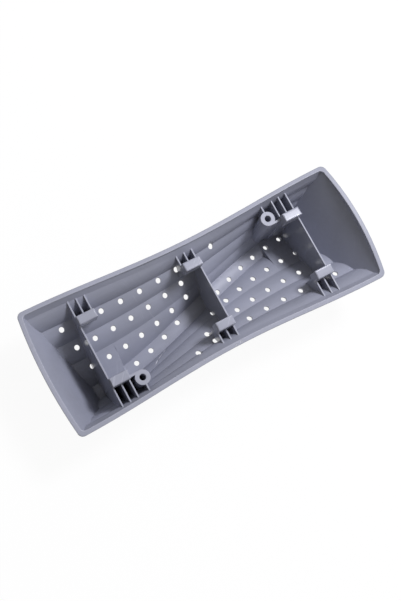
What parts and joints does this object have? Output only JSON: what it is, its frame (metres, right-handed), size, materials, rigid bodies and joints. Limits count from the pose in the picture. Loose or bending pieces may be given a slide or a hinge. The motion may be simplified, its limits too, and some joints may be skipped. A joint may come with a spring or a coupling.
{
  "type": "drum paddle",
  "caption": "Hollow moulded drum paddle with a twisted terraced crest, rows of drain holes, cross ribs, drum pads and screw bosses; lifts the laundry in a washing machine.",
  "frame": {"origin": "midway between the two screw bosses, level with their seats", "axes": "X along the paddle, Y across it, +Z out of the open side towards the drum wall"},
  "size_m": [0.2416, 0.0886, 0.0568],
  "materials": {
    "moulded_plastic": "satin moulded"
  },
  "bodies": {
    "root": {"drum_paddle": "moulded_plastic"}
  },
  "joints": []
}
